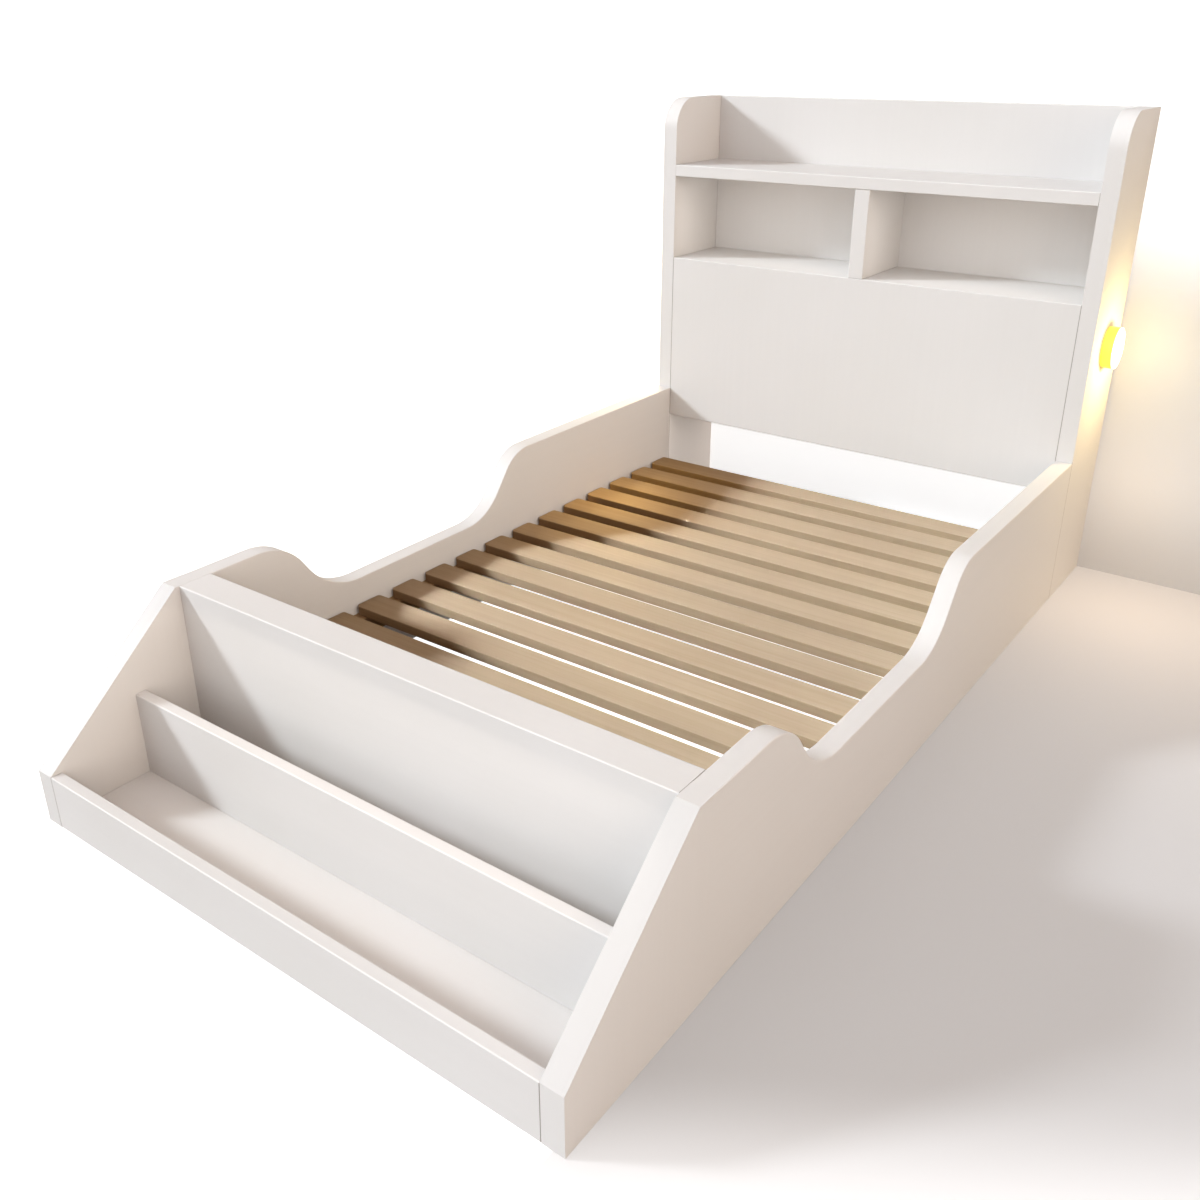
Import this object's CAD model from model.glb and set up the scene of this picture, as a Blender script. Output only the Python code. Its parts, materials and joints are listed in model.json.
# Painted child's bed with a bookcase headboard, wavy rails, slats, a foot shelf and a pair of night lamps.
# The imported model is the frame: boards get eased edges and paint, the lamps get their glow.
import json
import math
import bmesh
import bpy
from mathutils import Matrix, Vector

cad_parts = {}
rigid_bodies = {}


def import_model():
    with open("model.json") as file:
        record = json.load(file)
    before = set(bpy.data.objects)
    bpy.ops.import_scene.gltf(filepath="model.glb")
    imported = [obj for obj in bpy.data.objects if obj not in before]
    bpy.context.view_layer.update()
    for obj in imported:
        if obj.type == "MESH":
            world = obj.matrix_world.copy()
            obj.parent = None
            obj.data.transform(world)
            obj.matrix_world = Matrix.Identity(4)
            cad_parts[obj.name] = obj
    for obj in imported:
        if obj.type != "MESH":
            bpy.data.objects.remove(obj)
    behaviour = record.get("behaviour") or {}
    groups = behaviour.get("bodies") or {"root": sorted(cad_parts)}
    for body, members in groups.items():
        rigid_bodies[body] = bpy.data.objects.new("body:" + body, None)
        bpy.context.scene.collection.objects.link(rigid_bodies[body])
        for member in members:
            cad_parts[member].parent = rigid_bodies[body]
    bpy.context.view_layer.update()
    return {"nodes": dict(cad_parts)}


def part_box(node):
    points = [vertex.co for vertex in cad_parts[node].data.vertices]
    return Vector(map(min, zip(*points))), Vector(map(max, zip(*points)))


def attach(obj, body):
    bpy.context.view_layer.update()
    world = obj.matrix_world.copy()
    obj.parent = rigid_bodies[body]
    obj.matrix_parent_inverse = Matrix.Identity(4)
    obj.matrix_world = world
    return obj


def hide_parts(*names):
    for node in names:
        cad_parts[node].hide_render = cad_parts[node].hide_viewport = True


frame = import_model()
nodes = frame["nodes"]
print("frame loaded:", len(nodes), "nodes")


# Shader nodes

# where most of a noise texture's values lie
noiseSpan = (0.3, 0.7)


def clearTree(owner):
    owner.use_nodes = True
    owner.node_tree.nodes.clear()
    return owner.node_tree


def feed(tree, node, **inputs):
    # each input by its name, with _ for a blank, or by its place as i0, i1 and so on: a value or an output
    for key, value in inputs.items():
        byPlace = key[0] == "i" and key[1:].isdigit()
        socket = node.inputs[int(key[1:]) if byPlace else key.replace("_", " ")]
        if isinstance(value, bpy.types.NodeSocket):
            tree.links.new(value, socket)
        else:
            socket.default_value = value


def add(tree, kind, settings=None, **inputs):
    # one shader node: settings are its own fields
    node = tree.nodes.new("ShaderNode" + kind)
    for key, value in (settings or {}).items():
        setattr(node, key, value)
    feed(tree, node, **inputs)
    return node


def calculate(tree, operation, a, b=0.0):
    return add(tree, "Math", {"operation": operation}, i0=a, i1=b).outputs[0]


def times(tree, a, b):
    return calculate(tree, "MULTIPLY", a, b)


def weighed(tree, a, shareA, b, shareB):
    return calculate(tree, "ADD", times(tree, a, shareA), times(tree, b, shareB))


def spread(tree, value, low, high, toLow, toHigh):
    # low to high becomes toLow to toHigh
    limits = {"From_Min": low, "From_Max": high, "To_Min": toLow, "To_Max": toHigh}
    return add(tree, "MapRange", Value=value, **limits).outputs[0]


def ramp(tree, value, start, end):
    # from 0 at start to 1 at end, softly
    smooth = {"interpolation_type": "SMOOTHSTEP"}
    return add(tree, "MapRange", smooth, Value=value, From_Min=start, From_Max=end).outputs[0]


def blendColour(tree, factor, a, b, mode="MIX"):
    # the colour mixer takes its factor at place 0 and its colours at places 6 and 7
    a, b = ((*colour, 1) if isinstance(colour, tuple) else colour for colour in (a, b))
    return add(tree, "Mix", {"data_type": "RGBA", "blend_type": mode}, i0=factor, i6=a, i7=b).outputs[2]


def tinted(tree, colour, tint):
    return blendColour(tree, 1.0, colour, tint, "MULTIPLY")


def grey(tree, shade):
    return add(tree, "CombineColor", Red=shade, Green=shade, Blue=shade).outputs[0]


def upward(tree):
    # how far the surface faces up, from -1 to 1
    return add(tree, "SeparateXYZ", Vector=add(tree, "TexCoord").outputs["Normal"]).outputs["Z"]


def coordinates(tree, scale=(1, 1, 1), turn=(0, 0, 0)):
    place = add(tree, "TexCoord").outputs["Object"]
    return add(tree, "Mapping", Vector=place, Scale=scale, Rotation=turn).outputs[0]


def noise(tree, vector, scale, detail=3.0, roughness=0.5, distortion=0.0):
    look = {"Scale": scale, "Detail": detail, "Roughness": roughness, "Distortion": distortion}
    return add(tree, "TexNoise", Vector=vector, **look).outputs["Fac"]


def grainNoise(tree, grainAxis, along, across, *texture):
    # noise that is drawn out along the grain
    scale = [across] * 3
    scale["XYZ".index(grainAxis)] = along
    return noise(tree, coordinates(tree, tuple(scale)), 1.0, *texture)


def bump(tree, height, strength, distance):
    return add(tree, "Bump", Strength=strength, Distance=distance, Height=height).outputs[0]


# Camera and lights

view = {
    "place": (1.1155, -1.73938, 1.16797),
    "right": (0.803467, 0.595337, -0.003766),
    "up": (-0.241585, 0.331811, 0.911887),
    "lens": 34.785,
    "sensor": 36,
    "shiftX": 0.0079,
    "shiftY": -0.0322,
}

# light from all round: a plain share, warm as the room
ambient = {"strength": 0.318, "colour": (1.0, 0.60, 0.40)}

keyWay = (1.0, 0.62, -0.6)
sunPlace = (-3, -2.5, 2.5)

# each sun: the way its light goes, its spread in degrees, its strength and its colour
# the fills soften the shade on the painted boards and don't bounce, and the slats have a key of their own
suns = {
    "key": (keyWay, 9.0, 2.67, (0.855, 0.935, 1.0)),
    "fill_front": ((0.15, 1.0, -0.6), 60.0, 0.70, (0.62, 0.85, 1.0)),
    "fill_top": ((0.0, 0.2, -1.0), 70.0, 0.46, (0.9, 0.95, 1.0)),
    "fill_back": ((0.0, -1.0, 0.0), 20.0, 2.6, (1.0, 1.0, 1.0)),
    "fill_right": ((-1.0, 0.1, -0.06), 100.0, 3.9, (1.0, 0.935, 0.86)),
    "slat_key": (keyWay, 9.0, 2.75, (0.905, 0.97, 1.0)),
}

# weak cards of light, in watts: before the mouth of each cubby, as shares of its width and height
cubbyCard = {"power": 0.14, "colour": (1.0, 0.965, 0.92), "before": 0.001, "wide": 0.85, "high": 0.7}

# over the bays of the foot shelf, below the top of its panel, as a share of the bays' depth
bayCard = {"power": 0.19, "colour": (1.0, 0.89, 0.78), "drop": 0.028, "deep": 0.9}

# on the inner side of the headboard below its face panel, as from the pale wall
wallCard = {"power": 3.5, "colour": (1.0, 0.96, 0.93), "place": (0.45, 0.89, 0.25), "wide": 0.2, "high": 0.3}

# which pieces a light leaves out or falls on alone
shared = {
    "fill_front": ("EXCLUDE", ("slat_",)),
    "fill_top": ("EXCLUDE", ("slat_",)),
    "fill_right": ("EXCLUDE", ("slat_",)),
    "fill_back": ("INCLUDE", ("headboard_back_panel",)),
    "slat_key": ("INCLUDE", ("slat_",)),
    "bay_card": ("INCLUDE", ("foot_panel", "foot_shelf_", "foot_side_")),
}


def addObject(name, data):
    thing = bpy.data.objects.new(name, data)
    bpy.context.scene.collection.objects.link(thing)
    return thing


def addCamera():
    right, up = Vector(view["right"]), Vector(view["up"])
    turn = Matrix((right, up, right.cross(up))).transposed().to_4x4()
    data = bpy.data.cameras.new("photo_view")
    data.lens = view["lens"]
    data.sensor_width = view["sensor"]
    data.sensor_fit = "HORIZONTAL"
    data.shift_x = view["shiftX"]
    data.shift_y = view["shiftY"]
    camera = addObject("photo_view", data)
    camera.matrix_world = Matrix.Translation(view["place"]) @ turn
    bpy.context.scene.camera = camera


def addLight(name, kind, place, direction, strength, colour, **settings):
    data = bpy.data.lights.new(name, kind)
    data.energy = strength
    data.color = colour
    for key, value in settings.items():
        setattr(data, key, value)
    lamp = addObject(name, data)
    lamp.rotation_mode = "QUATERNION"
    lamp.rotation_quaternion = Vector(direction).to_track_quat("-Z", "Y")
    lamp.location = place
    return lamp


def addCard(name, card, place, direction, width, height, bounces=True):
    # a rectangle of light that neither the camera nor a reflection sees
    lamp = addLight(name, "AREA", place, direction, card["power"], card["colour"],
                    shape="RECTANGLE", size=width, size_y=height)
    lamp.visible_camera = False
    lamp.visible_glossy = False
    if not bounces:
        lamp.data.cycles.max_bounces = 0
    return lamp


def shareLight(lamp, state, starts):
    group = bpy.data.collections.new(lamp.name + "_" + state.lower() + "d")
    for thing in bpy.context.scene.objects:
        if thing.type == "MESH" and thing.name.startswith(starts):
            group.objects.link(thing)
    for entry in group.collection_objects:
        entry.light_linking.link_state = state
    lamp.light_linking.receiver_collection = group


def addSuns():
    for name, (way, width, strength, colour) in suns.items():
        sun = addLight(name, "SUN", sunPlace, way, strength, colour, angle=math.radians(width))
        if name.startswith("fill_"):
            sun.data.cycles.max_bounces = 0
            sun.data.cycles.use_multiple_importance_sampling = False


def addCubbyCards():
    divider, left, right = (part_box("headboard_" + name) for name in ("divider", "side_left", "side_right"))
    low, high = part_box("headboard_lower_shelf")[1][2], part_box("headboard_top_shelf")[0][2]
    for name, start, end in (("left", left[1][0], divider[0][0]), ("right", divider[1][0], right[0][0])):
        place = ((start + end) / 2, divider[0][1] - cubbyCard["before"], (low + high) / 2)
        width, height = (end - start) * cubbyCard["wide"], (high - low) * cubbyCard["high"]
        addCard("cubby_card_" + name, cubbyCard, place, (0, 1, 0), width, height)


def addBayCard():
    panel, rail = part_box("foot_panel"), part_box("foot_front_rail")
    start, end = rail[1][1], panel[0][1]
    place = (0, (start + end) / 2, panel[1][2] - bayCard["drop"])
    width, depth = rail[1][0] - rail[0][0], (end - start) * bayCard["deep"]
    addCard("bay_card", bayCard, place, (0, 0, -1), width, depth, bounces=False)


# Floor, wall and background

studio = {
    "half": 7.0,
    "floorZ": -0.0006,
    "wallY": 1.018,
    "wallFrom": 0.001,                     # above the floor by this much it is the wall
    "colour": (0.55, 0.54, 0.53),          # as a source of light
    "coveredColour": (0.30, 0.26, 0.22),   # the same below the bed
    "coveredLow": (-0.5, -0.69, -1.0),
    "coveredHigh": (0.5, 1.2, 0.45),
    "soft": 0.002,
    "seenFloor": (0.43, 0.412, 0.405),     # as the eye sees them
    "seenWall": (0.635, 0.63, 0.625),
    # light for the eye alone: a haze, which rises on the wall up to hazeZ, and white on the left of whiteX,
    # up the wall and in front of a line over the floor that runs the way of the key
    "floorHaze": 0.235,
    "wallHaze": (0.10, 0.22),
    "hazeZ": 0.26,
    "white": 0.9,
    "whiteX": 0.515,
    "whiteSoft": 0.015,
    "wallWhite": 0.75,
    "whiteZ": (0.58, 0.95),
    "frontPoint": (0.97, -0.60),
    "frontAlong": keyWay[:2],
    "frontReach": (0.03, -0.22),
    "frontWhite": 0.50,
    "backX": 0.54,                         # the wall lets light through behind the headboard, up to backZ
    "backZ": 1.04,
}


def addWorld():
    # the background is white to the eye and a warm even share as light
    world = bpy.data.worlds.new("studio")
    bpy.context.scene.world = world
    tree = clearTree(world)
    path = add(tree, "LightPath")
    seen = calculate(tree, "MAXIMUM", path.outputs["Is Camera Ray"], path.outputs["Is Glossy Ray"])
    seen = calculate(tree, "MAXIMUM", seen, path.outputs["Is Transmission Ray"])
    around = add(tree, "Background", Color=(*ambient["colour"], 1), Strength=ambient["strength"])
    white = add(tree, "Background", Color=(1, 1, 1, 1), Strength=1.0)
    mix = add(tree, "MixShader", i0=seen, i1=around.outputs[0], i2=white.outputs[0])
    add(tree, "OutputWorld", Surface=mix.outputs[0])


def coveredShare(tree, axes):
    # 1 in the box below the bed, 0 outside it
    share, soft = 1.0, studio["soft"]
    for axis, low, high in zip(axes, studio["coveredLow"], studio["coveredHigh"]):
        rise = ramp(tree, axis, low - soft, low + soft)
        fall = ramp(tree, axis, high + soft, high - soft)
        share = times(tree, share, times(tree, rise, fall))
    return share


def whiteShare(tree, axes, isWall):
    x, y, z = axes
    whiteX, soft = studio["whiteX"], studio["whiteSoft"]
    left = times(tree, ramp(tree, x, whiteX + soft, whiteX - soft),
                 spread(tree, isWall, 0, 1, 1.0, studio["wallWhite"]))
    upper = ramp(tree, z, *studio["whiteZ"])
    along = Vector(studio["frontAlong"]).normalized()
    start = Vector(studio["frontPoint"])
    across = calculate(tree, "SUBTRACT", times(tree, y, along.x), times(tree, x, along.y))
    across = calculate(tree, "SUBTRACT", across, start.y * along.x - start.x * along.y)
    front = times(tree, ramp(tree, across, *studio["frontReach"]), studio["frontWhite"])
    return calculate(tree, "MAXIMUM", calculate(tree, "MAXIMUM", left, upper), front)


def studioMaterial():
    # plain paint, paler to the eye than as a source of light, and clear from behind
    material = bpy.data.materials.new("pale_studio")
    tree = clearTree(material)
    axes = add(tree, "SeparateXYZ", Vector=add(tree, "TexCoord").outputs["Object"]).outputs
    x, y, z = axes
    isWall = calculate(tree, "GREATER_THAN", z, studio["floorZ"] + studio["wallFrom"])
    seen = add(tree, "LightPath").outputs["Is Camera Ray"]
    wallHaze = spread(tree, ramp(tree, z, 0.0, studio["hazeZ"]), 0, 1, *studio["wallHaze"])
    haze = spread(tree, isWall, 0, 1, studio["floorHaze"], wallHaze)
    white = times(tree, whiteShare(tree, axes, isWall), studio["white"])
    strength = times(tree, calculate(tree, "ADD", white, haze), seen)
    blank = add(tree, "Emission", Color=(1, 1, 1, 1), Strength=strength)
    lighting = blendColour(tree, coveredShare(tree, axes), studio["colour"], studio["coveredColour"])
    looks = blendColour(tree, isWall, studio["seenFloor"], studio["seenWall"])
    plain = add(tree, "BsdfDiffuse", Color=blendColour(tree, seen, lighting, looks))
    both = add(tree, "AddShader", i0=plain.outputs[0], i1=blank.outputs[0])
    nearBack = calculate(tree, "LESS_THAN", calculate(tree, "ABSOLUTE", x), studio["backX"])
    nearBack = times(tree, times(tree, nearBack, isWall), calculate(tree, "LESS_THAN", z, studio["backZ"]))
    letsThrough = times(tree, nearBack, calculate(tree, "SUBTRACT", 1.0, seen))
    letsThrough = calculate(tree, "MAXIMUM", letsThrough, add(tree, "NewGeometry").outputs["Backfacing"])
    clear = add(tree, "BsdfTransparent")
    mix = add(tree, "MixShader", i0=letsThrough, i1=both.outputs[0], i2=clear.outputs[0])
    add(tree, "OutputMaterial", Surface=mix.outputs[0])
    return material


def addStudio():
    near, far = -studio["half"], studio["half"]
    ground, back = studio["floorZ"], studio["wallY"]
    material = studioMaterial()
    sheets = {
        "studio_floor": [(near, near, ground), (far, near, ground), (far, far, ground), (near, far, ground)],
        "studio_wall": [(near, back, ground), (far, back, ground), (far, back, far), (near, back, far)],
    }
    for name, corners in sheets.items():
        mesh = bpy.data.meshes.new(name)
        mesh.from_pydata(corners, [], [(0, 1, 2, 3)])
        sheet = addObject(name, mesh)
        mesh.materials.append(material)


addCamera()
addWorld()
addStudio()
addSuns()
addCubbyCards()
addBayCard()
bpy.context.scene.view_settings.view_transform = "Standard"
print("camera, floor and light placed")


# Materials
# a texture is given by its scale, detail and roughness, and one along the grain by two scales in place of one

paint = {
    "light": (230, 228, 226),
    "dark": (227, 225, 222),
    "streaks": (1.6, 95.0, 4.0, 0.6),
    "streakSpan": (0.35, 0.65),
    "streakShade": (0.992, 1.0),
    "cloud": (2.6, 2.0),
    "roller": (420.0, 2.0, 0.6),
    "roughness": (0.44, 0.56),
    "specular": 0.3,
    "bumpShares": (0.7, 0.3),
    "bump": (0.5, 0.00005),
    # sawn slopes take the paint duller: those that face up by more than slopeFrom and less than slopeTo
    "slopeTint": (0.84, 0.84, 0.84),
    "slopeFrom": (0.4, 0.55),
    "slopeTo": (0.95, 0.85),
}

wood = {
    "rings": (1.1, 46.0, 3.0, 0.55, 0.6),
    "pores": (14.0, 900.0, 2.0, 0.6),
    "streaks": (2.6, 210.0, 4.0, 0.62),
    "drift": (0.4, 9.0, 1.0),
    "ringSpan": (0.34, 0.68),
    "poreSpan": (0.55, 0.75),
    "streakSpan": (0.48, 0.72),
    "edgeSpan": (0.35, 0.85),
    "specular": 0.2,
    "bumpShares": (0.4, 0.6),
    "bumpStrength": 0.6,
}

slatWood = {
    "edgeTint": (0.78, 0.74, 0.69),        # sawn edges are darker than the planed faces
    "light": (204, 187, 160),
    "middle": (197, 179, 150),
    "dark": (176, 154, 124),
    "roughness": (0.5, 0.62),
    "bumpHeight": 0.0001,
    "streakShare": 0.3,
    "poreShare": 0.2,
    "toneRange": (0.96, 1.03),
}

rawWood = {
    "edgeTint": (0.9, 0.88, 0.86),
    "light": (214, 193, 158),
    "middle": (200, 177, 140),
    "dark": (172, 146, 108),
    "roughness": (0.55, 0.7),
    "bumpHeight": 0.0002,
    "streakShare": 0.5,
    "poreShare": 0.35,
    "toneRange": (0.92, 1.05),
}

metal = {"stretch": 0.06, "scratches": (3.0, 0.6), "cloud": (60.0, 2.0), "darker": 0.8,
         "drift": (0.07, 0.1), "bump": (0.3, 0.00005)}

plastic = {"fine": (2.0, 0.6), "cloud": (24.0, 2.0), "drift": (0.05, 0.08), "bump": (0.35, 0.00004)}

glow = {
    "rimColour": (1.0, 0.70, 0.02),
    "rimStrength": 0.78,
    "faceColour": (1.0, 0.93, 0.62),
    "faceStrength": 5.0,
    "rimPlastic": (0.92, 0.74, 0.20),
    "facePlastic": (0.95, 0.92, 0.80),
    "faceSpan": (0.5575, 0.5612),          # from the bed's middle plane, where the rim turns into the face
    "roughness": 0.32,
    "mottle": (130.0, 2.0),
    "mottleRange": (0.94, 1.05),
}

circuit = {
    "mask": (28, 104, 62),
    "maskDark": (20, 84, 50),
    "cloud": (40.0, 2.0),
    "track": (52, 134, 84),
    "trackShare": 0.5,
    "trackTurn": 90,
    "trackWidth": 0.0007,
    "trackWay": (0.013, 0.006),
    "diode": (248, 214, 96),
    "diodesFrom": 0.5558,                  # from the bed's middle plane, just off the face of the board
    "roughness": 0.35,
}


def linear(levels):
    # sRGB from 0 to 255 as linear light
    return tuple(c / 255 / 12.92 if c <= 10.3 else ((c / 255 + 0.055) / 1.055) ** 2.4 for c in levels)


def surface(name, **inputs):
    material = bpy.data.materials.new(name)
    tree = clearTree(material)
    shader = add(tree, "BsdfPrincipled", **inputs)
    add(tree, "OutputMaterial", Surface=shader.outputs[0])
    return material, tree, shader


def paintMaterial(name, grainAxis, sloped=False):
    # satin paint over a board: a soft cloud of tone, the grain as faint long streaks, and roller texture
    material, tree, shader = surface(name, Specular_IOR_Level=paint["specular"])
    plain = coordinates(tree)
    streaks = grainNoise(tree, grainAxis, *paint["streaks"])
    cloud = noise(tree, plain, *paint["cloud"])
    roller = noise(tree, plain, *paint["roller"])
    drift = spread(tree, cloud, *noiseSpan, 0, 1)
    colour = blendColour(tree, drift, linear(paint["dark"]), linear(paint["light"]))
    shade = spread(tree, streaks, *paint["streakSpan"], *paint["streakShade"])
    colour = tinted(tree, colour, grey(tree, shade))
    if sloped:
        up = upward(tree)
        slope = times(tree, ramp(tree, up, *paint["slopeFrom"]), ramp(tree, up, *paint["slopeTo"]))
        colour = blendColour(tree, slope, colour, tinted(tree, colour, paint["slopeTint"]))
    streakShare, rollerShare = paint["bumpShares"]
    height = weighed(tree, streaks, streakShare, roller, rollerShare)
    feed(tree, shader, Base_Color=colour, Normal=bump(tree, height, *paint["bump"]),
         Roughness=spread(tree, cloud, *noiseSpan, *paint["roughness"]))
    return material


def woodMaterial(name, look, grainAxis):
    # planed wood: growth rings cut lengthwise, fine pores along the grain, each board with its own tone
    material, tree, shader = surface(name, Specular_IOR_Level=wood["specular"])
    rings, pores, streaks, drift = (grainNoise(tree, grainAxis, *wood[part])
                                    for part in ("rings", "pores", "streaks", "drift"))
    light, middle, dark = (linear(look[tone]) for tone in ("light", "middle", "dark"))
    tones = add(tree, "ValToRGB", Fac=rings)
    for element, place, tone in zip(tones.color_ramp.elements, wood["ringSpan"], (light, middle)):
        element.position = place
        element.color = (*tone, 1)
    streaky = spread(tree, streaks, *wood["streakSpan"], 0, look["streakShare"])
    porous = spread(tree, pores, *wood["poreSpan"], 0, look["poreShare"])
    colour = blendColour(tree, streaky, tones.outputs[0], dark)
    colour = blendColour(tree, porous, colour, dark)
    colour = tinted(tree, colour, grey(tree, spread(tree, drift, *noiseSpan, *look["toneRange"])))
    edge = spread(tree, calculate(tree, "ABSOLUTE", upward(tree)), *wood["edgeSpan"], 1, 0)
    colour = blendColour(tree, edge, colour, tinted(tree, colour, look["edgeTint"]))
    poreShare, streakShare = wood["bumpShares"]
    height = weighed(tree, pores, poreShare, streaks, streakShare)
    feed(tree, shader, Base_Color=colour,
         Roughness=spread(tree, streaks, *noiseSpan, *look["roughness"]),
         Normal=bump(tree, height, wood["bumpStrength"], look["bumpHeight"]))
    return material


def fineFinish(tree, shader, fine, light, dark, roughness, look):
    # a faint drift of tone, and a fine texture in the sheen and the surface
    drift = spread(tree, noise(tree, coordinates(tree), *look["cloud"]), *noiseSpan, 0, 1)
    below, above = look["drift"]
    feed(tree, shader, Base_Color=blendColour(tree, drift, dark, light),
         Roughness=spread(tree, fine, *noiseSpan, roughness - below, roughness + above),
         Normal=bump(tree, fine, *look["bump"]))


def metalMaterial(name, colour, roughness, scratch):
    # plated or turned steel: fine scratches and a slightly uneven sheen
    material, tree, shader = surface(name, Metallic=1.0)
    fine = grainNoise(tree, "Z", scratch * metal["stretch"], scratch, *metal["scratches"])
    dark = tuple(c * metal["darker"] for c in colour)
    fineFinish(tree, shader, fine, colour, dark, roughness, metal)
    return material


def plasticMaterial(name, light, dark, roughness, grain):
    # moulded plastic with a fine spark-eroded texture
    material, tree, shader = surface(name)
    fine = noise(tree, coordinates(tree), grain, *plastic["fine"])
    fineFinish(tree, shader, fine, linear(light), linear(dark), roughness, plastic)
    return material


def outward(tree):
    # distance from the bed's middle plane
    return calculate(tree, "ABSOLUTE", add(tree, "SeparateXYZ", Vector=coordinates(tree)).outputs[0])


def diffuserMaterial(name):
    # milky plastic lit from inside: yellow at the rim, white hot at the face
    material, tree, shader = surface(name, Roughness=glow["roughness"])
    share = ramp(tree, outward(tree), *glow["faceSpan"])
    mottle = noise(tree, coordinates(tree), *glow["mottle"])
    strength = times(tree, share, glow["faceStrength"] - glow["rimStrength"])
    strength = calculate(tree, "ADD", strength, glow["rimStrength"])
    strength = times(tree, strength, spread(tree, mottle, *noiseSpan, *glow["mottleRange"]))
    feed(tree, shader, Emission_Strength=strength,
         Emission_Color=blendColour(tree, share, glow["rimColour"], glow["faceColour"]),
         Base_Color=blendColour(tree, share, glow["rimPlastic"], glow["facePlastic"]))
    return material


def circuitMaterial(name):
    # solder mask with lighter tracks below it, and phosphor-yellow diodes
    material, tree, shader = surface(name, Roughness=circuit["roughness"])
    turned = coordinates(tree, turn=(0, math.radians(circuit["trackTurn"]), 0))
    width, height = circuit["trackWay"]
    tracks = add(tree, "TexBrick", {"offset": 0.5, "squash": 1.0}, Vector=turned, Scale=1.0,
                 Color1=(0, 0, 0, 1), Color2=(0, 0, 0, 1), Mortar=(1, 1, 1, 1),
                 Mortar_Size=circuit["trackWidth"], Brick_Width=width, Row_Height=height)
    cloud = noise(tree, coordinates(tree), *circuit["cloud"])
    mask = blendColour(tree, cloud, linear(circuit["maskDark"]), linear(circuit["mask"]))
    track = times(tree, tracks.outputs["Fac"], circuit["trackShare"])
    mask = blendColour(tree, track, mask, linear(circuit["track"]))
    diode = calculate(tree, "GREATER_THAN", outward(tree), circuit["diodesFrom"])
    feed(tree, shader, Base_Color=blendColour(tree, diode, mask, linear(circuit["diode"])))
    return material


woods = {
    "slat_wood_planed": (slatWood, "X"),
    "raw_wood_strip": (rawWood, "Y"),
    "beech_dowel": (rawWood, "Z"),
}

# each: its colour, roughness and how fine its scratches are
metals = {
    "bright_screw_steel": ((0.66, 0.67, 0.69), 0.28, 1800.0),
    "dull_zinc": ((0.52, 0.53, 0.54), 0.42, 900.0),
}

# each: its light and dark tone, roughness and how fine its texture is
plastics = {
    "shaded_joint": ((176, 170, 164), (168, 162, 156), 0.6, 900.0),
    "lamp_cover_plastic": ((240, 238, 233), (232, 229, 223), 0.4, 900.0),
    "ferrite": ((62, 61, 62), (46, 45, 46), 0.62, 500.0),
    "battery_sleeve": ((72, 108, 158), (58, 92, 142), 0.3, 300.0),
}

paintAlong = {axis: paintMaterial("satin_paint_grain_" + axis.lower(), axis) for axis in "XYZ"}
slopedPaint = paintMaterial("satin_paint_sloped", "Z", sloped=True)
looks = {}
for maker, kinds in ((woodMaterial, woods), (metalMaterial, metals), (plasticMaterial, plastics)):
    for name, look in kinds.items():
        looks[name] = maker(name, *look)
looks["glowing_diffuser"] = diffuserMaterial("glowing_diffuser")
looks["circuit_board"] = circuitMaterial("circuit_board")
print("materials made")


# Boards

# each board and the way its grain runs
boards = {
    "headboard_side_left": "Z", "headboard_side_right": "Z", "headboard_back_panel": "Z",
    "headboard_top_shelf": "X", "headboard_lower_shelf": "X", "headboard_divider": "Z",
    "headboard_face_panel": "Z", "headboard_base_board": "X", "head_stretcher": "X",
    "foot_side_left": "Z", "foot_side_right": "Z", "foot_panel": "X", "foot_shelf_floor": "X",
    "foot_shelf_divider": "X", "foot_front_rail": "X", "side_rail_left": "Y", "side_rail_right": "Y",
    "foot_end_board": "X",
}

easing = {
    "radius": 0.0018,
    "steps": 3,
    "seam": 0.4,                           # share of the radius where two boards meet in one surface
    "jointSlot": 1,                        # material slot of those seams
    "shortest": 0.0035,                    # edges below this length are the rims of bores and stay sharp
    "merge": 1e-5,
    "flat": 0.2,                           # degrees below which two faces are one
    "turned": 0.5,                         # radians from which an edge is eased
    "creased": 35,                         # degrees from which the shading breaks
    "samples": (0.15, 0.4, 0.6, 0.85),     # where along an edge its neighbours are looked for
    "probe": (0.0005, 0.004),              # how far off the one face and in from the other
    "closed": [("headboard_face_panel", "headboard_lower_shelf"), ("foot_panel", "foot_end_board"),
               ("foot_side_left", "side_rail_left"), ("foot_side_right", "side_rail_right")],
    # upright edges that are free and jointed by turns, cut at the heights of these boards
    "cutAt": {
        "headboard_side_left": ("side_rail_left", "headboard_face_panel"),
        "headboard_side_right": ("side_rail_right", "headboard_face_panel"),
    },
}

boxes = {name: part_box(name) for name in boards}


def insideBoard(name, point):
    low, high = boxes[name]
    return all(low[k] < point[k] < high[k] for k in range(3))


def edgeShare(name, edge):
    # the share of the radius an edge takes: all if some of it is free, less or none where boards meet
    normals = [face.normal for face in edge.link_faces]
    start, end = (vertex.co for vertex in edge.verts)
    off, back = easing["probe"]
    shares = []
    for part in easing["samples"]:
        share = 1.0
        for outer, inner in (normals, normals[::-1]):
            probe = start.lerp(end, part) + outer * off - inner * back
            for other in boards:
                if other != name and insideBoard(other, probe):
                    closed = any(name in pair and other in pair for pair in easing["closed"])
                    share = min(share, 0.0 if closed else easing["seam"])
        shares.append(share)
    return max(shares)


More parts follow.
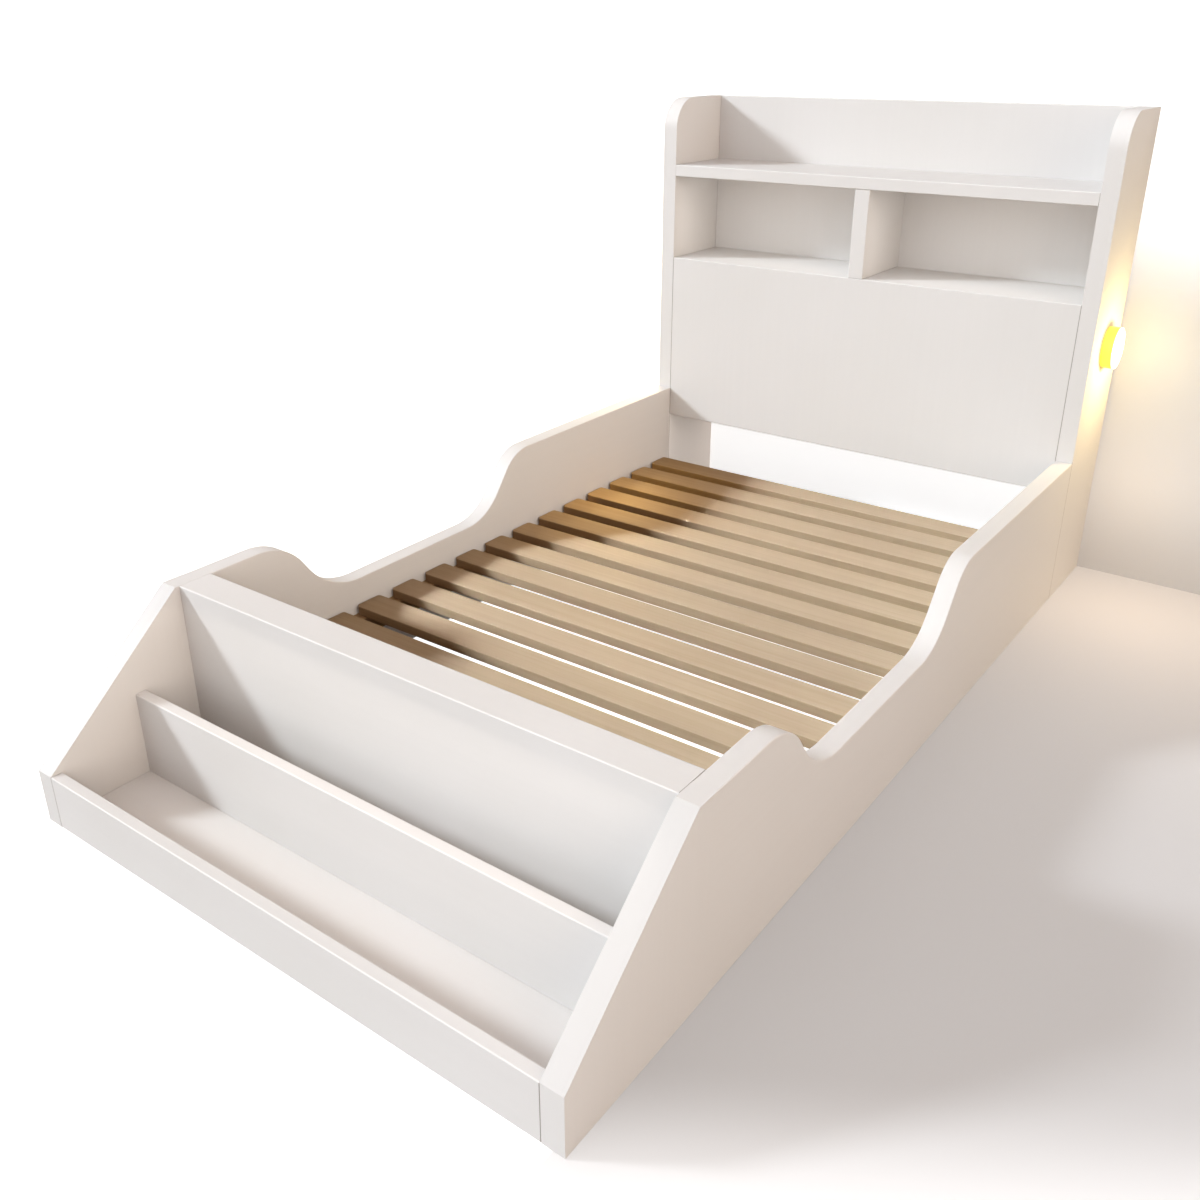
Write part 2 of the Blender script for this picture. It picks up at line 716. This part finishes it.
def mergedBoard(name):
    # the board as one skin of large faces, its upright edges cut where a neighbour starts or ends
    skin = bmesh.new()
    skin.from_mesh(nodes[name].data)
    bmesh.ops.remove_doubles(skin, verts=skin.verts, dist=easing["merge"])
    flat = math.radians(easing["flat"])
    bmesh.ops.dissolve_limit(skin, angle_limit=flat, verts=skin.verts, edges=skin.edges)
    for other in easing["cutAt"].get(name, ()):
        for corner in boxes[other]:
            bmesh.ops.bisect_plane(skin, geom=skin.verts[:] + skin.edges[:] + skin.faces[:],
                                   dist=easing["merge"], plane_co=(0, 0, corner[2]), plane_no=(0, 0, 1))
    return skin


def easeJoints(name, skin):
    # seams get their hairline here, and the other edges get a weight for the easing that follows
    weights = skin.edges.layers.float.new("bevel_weight_edge")
    seams = []
    for edge in skin.edges:
        longEnough = len(edge.link_faces) == 2 and edge.calc_length() > easing["shortest"]
        if longEnough and edge.calc_face_angle(0) > easing["turned"]:
            share = edgeShare(name, edge)
            if share == easing["seam"]:
                seams.append(edge)
            else:
                edge[weights] = share
    bmesh.ops.bevel(skin, geom=seams, offset=easing["radius"] * easing["seam"], offset_type="OFFSET",
                    segments=1, profile=0.5, affect="EDGES", clamp_overlap=True, material=easing["jointSlot"])
    for face in skin.faces:
        if face.material_index == easing["jointSlot"]:
            for edge in face.edges:
                edge[weights] = 0.0


def addModifiers(piece):
    bevel = piece.modifiers.new("eased_edges", "BEVEL")
    bevel.limit_method = "WEIGHT"
    bevel.width = easing["radius"]
    bevel.segments = easing["steps"]
    bevel.harden_normals = True
    bevel.use_clamp_overlap = True
    even = piece.modifiers.new("even_shading", "WEIGHTED_NORMAL")
    even.mode = "FACE_AREA"
    even.weight = 100
    even.keep_sharp = True


def easedBoard(name):
    # a merged copy of the board whose outer edges are rounded over, as the paint leaves them
    skin = mergedBoard(name)
    easeJoints(name, skin)
    mesh = bpy.data.meshes.new(name + "_painted")
    skin.to_mesh(mesh)
    skin.free()
    for polygon in mesh.polygons:
        polygon.use_smooth = True
    mesh.set_sharp_from_angle(angle=math.radians(easing["creased"]))
    mesh.materials.append(slopedPaint if name.startswith("foot_side_") else paintAlong[boards[name]])
    mesh.materials.append(looks["shaded_joint"])
    piece = addObject(name + "_painted", mesh)
    addModifiers(piece)
    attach(piece, "bed")
    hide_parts(name)


for name in boards:
    easedBoard(name)
print("boards eased and painted:", len(boards))


# Slats, strips, fixings and lamps keep their own shape

finishes = {
    "slat_cleat_left": "raw_wood_strip", "slat_cleat_right": "raw_wood_strip",
    "slat_pegs": "beech_dowel", "joint_dowels": "beech_dowel",
    "cleat_screws": "bright_screw_steel", "bracket_bolts": "bright_screw_steel",
    "cam_bolts": "bright_screw_steel", "back_panel_screws": "bright_screw_steel",
    "foot_unit_bolts": "bright_screw_steel", "lamp_plates": "bright_screw_steel",
    "corner_brackets": "dull_zinc", "cam_locks": "dull_zinc",
}

lampFinishes = {
    "lamp_base_": "lamp_cover_plastic", "lamp_switch_": "lamp_cover_plastic",
    "lamp_diffuser_": "glowing_diffuser", "lamp_magnet_": "ferrite",
    "lamp_battery_": "battery_sleeve", "lamp_board_": "circuit_board",
}

for side in ("left", "right"):
    for start, look in lampFinishes.items():
        finishes[start + side] = look
for name in nodes:
    if name.removeprefix("slat_").isdigit():
        finishes[name] = "slat_wood_planed"

for name, look in finishes.items():
    slots = nodes[name].data.materials
    slots.clear()
    slots.append(looks[look])
print("finishes on the carried-over nodes:", len(finishes))


# Light that the night lamps throw

# each: its place, watts, colour and the pieces that it falls on, or all
glows = {
    "left_lamp_glow": ((-0.61, 0.90, 0.60), 5.0, (1.0, 0.76, 0.40), ()),
    "left_lamp_spill": ((-0.42, 0.44, 0.36), 1.15, (1.0, 0.60, 0.15), ("slat_",)),
    "right_lamp_glow": ((0.66, 0.908, 0.55), 2.7, (1.0, 0.76, 0.34), ("headboard_", "side_rail_", "lamp_")),
    "right_lamp_room": ((0.64, 0.84, 0.24), 0.42, (1.0, 0.74, 0.46), ("studio_",)),
    "right_lamp_floor": ((0.74, 0.80, 0.42), 5.0, (1.0, 0.78, 0.55), ("studio_floor",)),
}
glowSize = 0.03

for name, (place, power, colour, onto) in glows.items():
    lamp = addLight(name, "POINT", place, (0, 0, -1), power, colour, shadow_soft_size=glowSize)
    if onto:
        shareLight(lamp, "INCLUDE", onto)
card = addCard("wall_light_below", wallCard, wallCard["place"], (-1, 0, 0),
               wallCard["wide"], wallCard["high"], bounces=False)
shareLight(card, "INCLUDE", ("headboard_side_left",))
for name, (state, starts) in shared.items():
    shareLight(bpy.data.objects[name], state, starts)
print("lamps lit")
